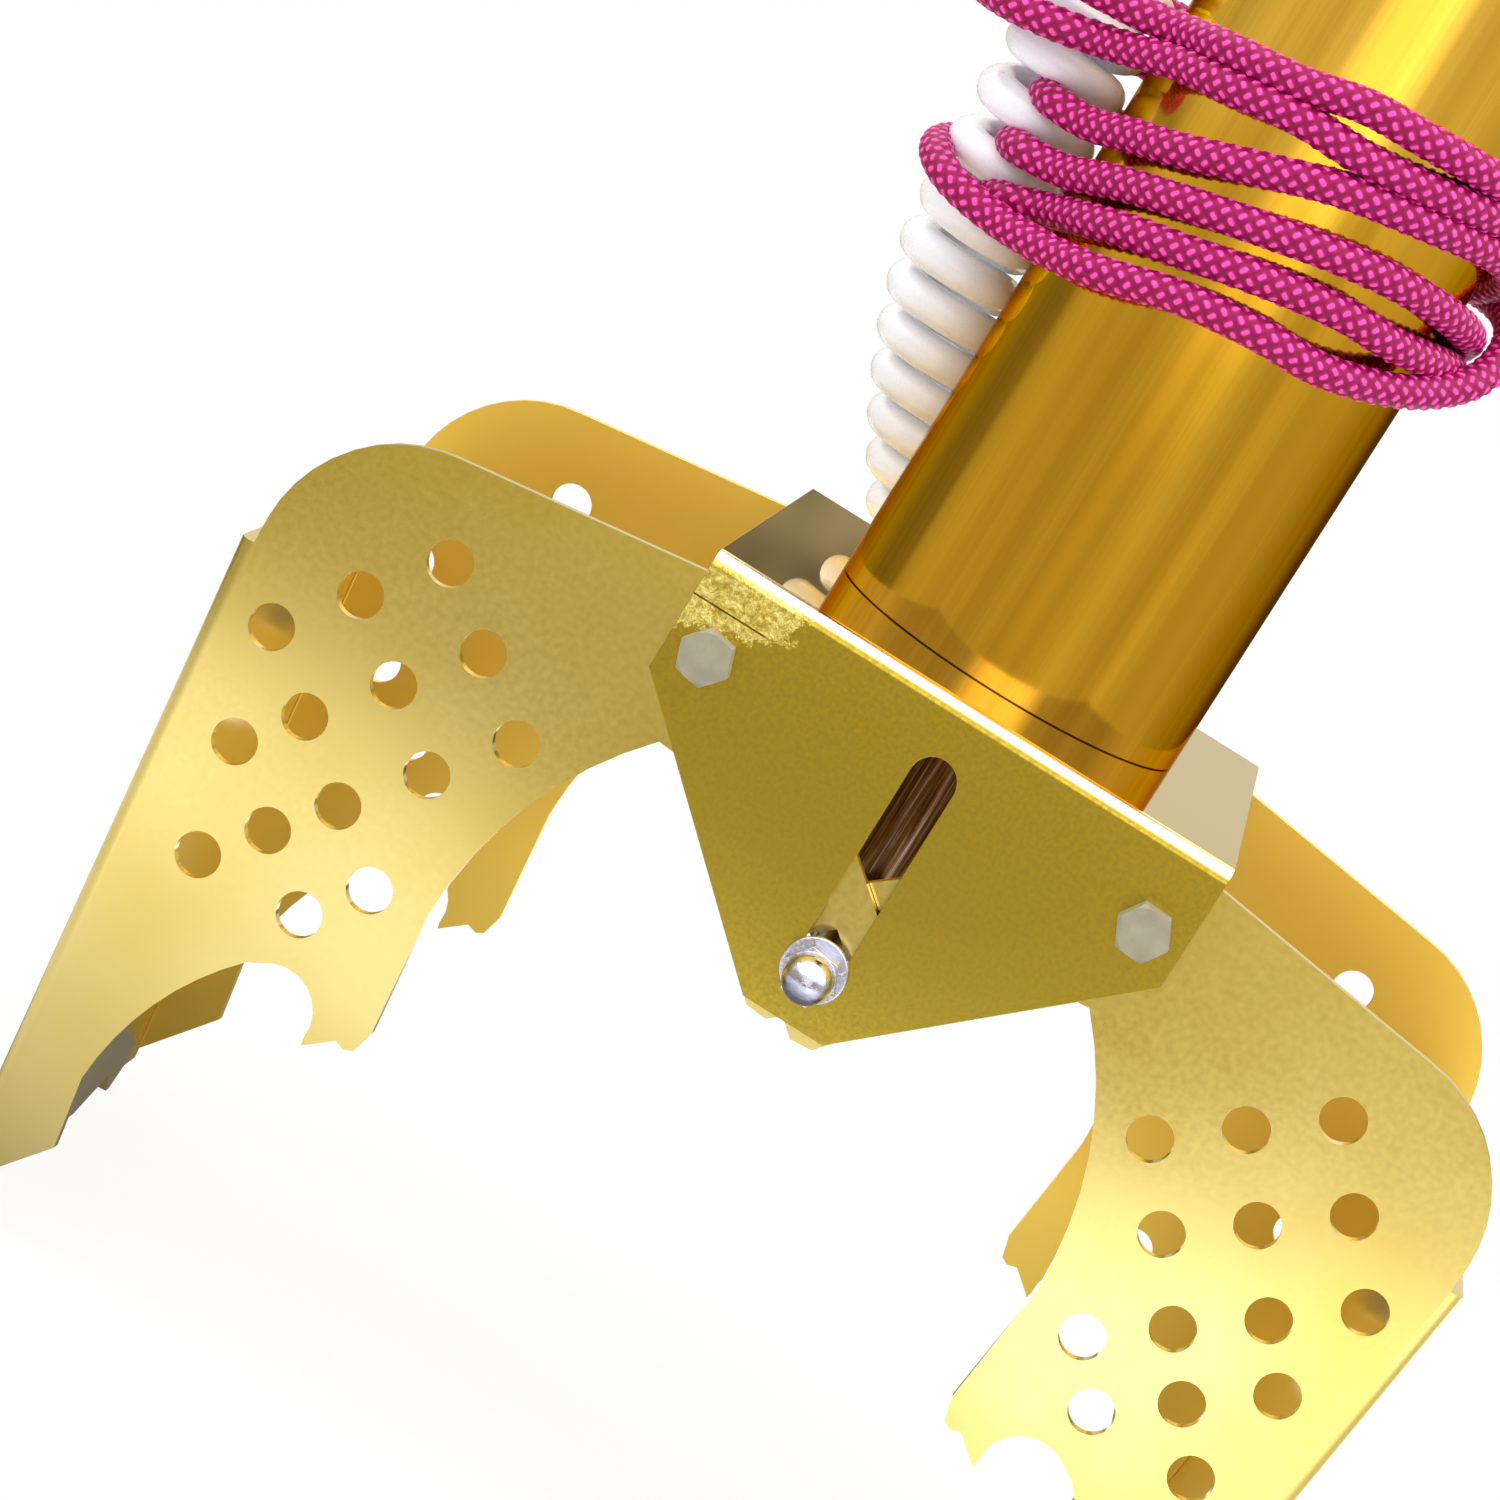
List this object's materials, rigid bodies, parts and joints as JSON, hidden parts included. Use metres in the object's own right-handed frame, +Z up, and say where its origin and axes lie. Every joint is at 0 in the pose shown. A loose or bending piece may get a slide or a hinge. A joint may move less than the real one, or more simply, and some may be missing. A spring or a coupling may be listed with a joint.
{
  "type": "solenoid grab claw",
  "caption": "Two-jaw crane grab: a plunger in a round housing lifts a cross stud that closes perforated folded jaws.",
  "frame": {"origin": "middle of the grab's footprint, on the surface that the open jaws stand on", "axes": "+X across the jaws to the right jaw, +Y from the front plate to the back plate, +Z up along the housing"},
  "size_m": [0.2126, 0.1292, 0.3152],
  "materials": {
    "gold_sheet": "stainless sheet with a gold-coloured polished coating",
    "gold_polish": "mirror-polished gold coating",
    "zinc_steel": "dull zinc plate",
    "bright_steel": "bright nickel plate",
    "steel": "machined steel",
    "brass": "drawn brass",
    "nylon": "natural nylon",
    "copper": "enamelled copper winding",
    "black_nylon": "black nylon",
    "white_cable": "glossy white cable jacket",
    "white_plug": "white plastic",
    "rope": "braided nylon rope"
  },
  "bodies": {
    "housing": {"bracket": "gold_sheet", "pivot_bolt_left": "zinc_steel", "pivot_bolt_right": "zinc_steel", "pivot_nuts": "zinc_steel", "spacer_sleeves": "steel", "spacer_washers": "zinc_steel", "thin_shims": "nylon", "return_spring": "steel", "housing_tube": "gold_polish", "base_pole_plate": "steel", "base_screws": "zinc_steel", "guide_sleeve": "brass", "bobbin": "nylon", "winding": "copper", "fixed_core": "steel", "top_pole_plate": "steel", "core_nut": "zinc_steel", "top_cap": "gold_polish", "cap_screws": "zinc_steel", "hanging_eye": "bright_steel", "eye_nut": "zinc_steel", "gland_body": "black_nylon", "gland_nut": "black_nylon", "gland_lock_nut": "black_nylon", "cable_lead": "white_cable", "curly_cord": "white_cable", "cable_tail": "white_cable", "cable_plug": "white_plug", "plug_pins": "bright_steel", "rope_wrap": "rope", "rope_lead": "rope", "rope_knot": "rope"},
    "jaw_left": {"jaw_left": "gold_sheet"},
    "jaw_right": {"jaw_right": "gold_sheet"},
    "drive": {"drive_stud": "zinc_steel", "stud_washers": "bright_steel", "cap_nut_front": "bright_steel", "cap_nut_back": "bright_steel", "stud_lock_nuts": "zinc_steel", "plunger_rod": "steel", "plunger": "steel"}
  },
  "joints": [
    {"name": "jaw_left_swing", "type": "hinge", "parent": "housing", "child": "jaw_left", "pos_m": [-0.0375, 0, 0.13688], "axis": [0, -1, 0], "range_deg": [0, 36.5]},
    {"name": "jaw_right_swing", "type": "hinge", "parent": "housing", "child": "jaw_right", "pos_m": [0.0375, 0, 0.13688], "axis": [0, 1, 0], "range_deg": [0, 36.5]},
    {"name": "plunger_slide", "type": "slide", "parent": "housing", "child": "drive", "axis": [0, 0, 1], "range_m": [0, 0.02911], "stiffness_N_per_m": 60, "springref_m": -0.02, "deforming": ["return_spring"]}
  ],
  "couplings": [
    {"joint": "jaw_right_swing", "follows": "jaw_left_swing", "ratio": 1},
    {"joint": "plunger_slide", "follows": "jaw_left_swing", "m_per_rad": 0.045687}
  ]
}
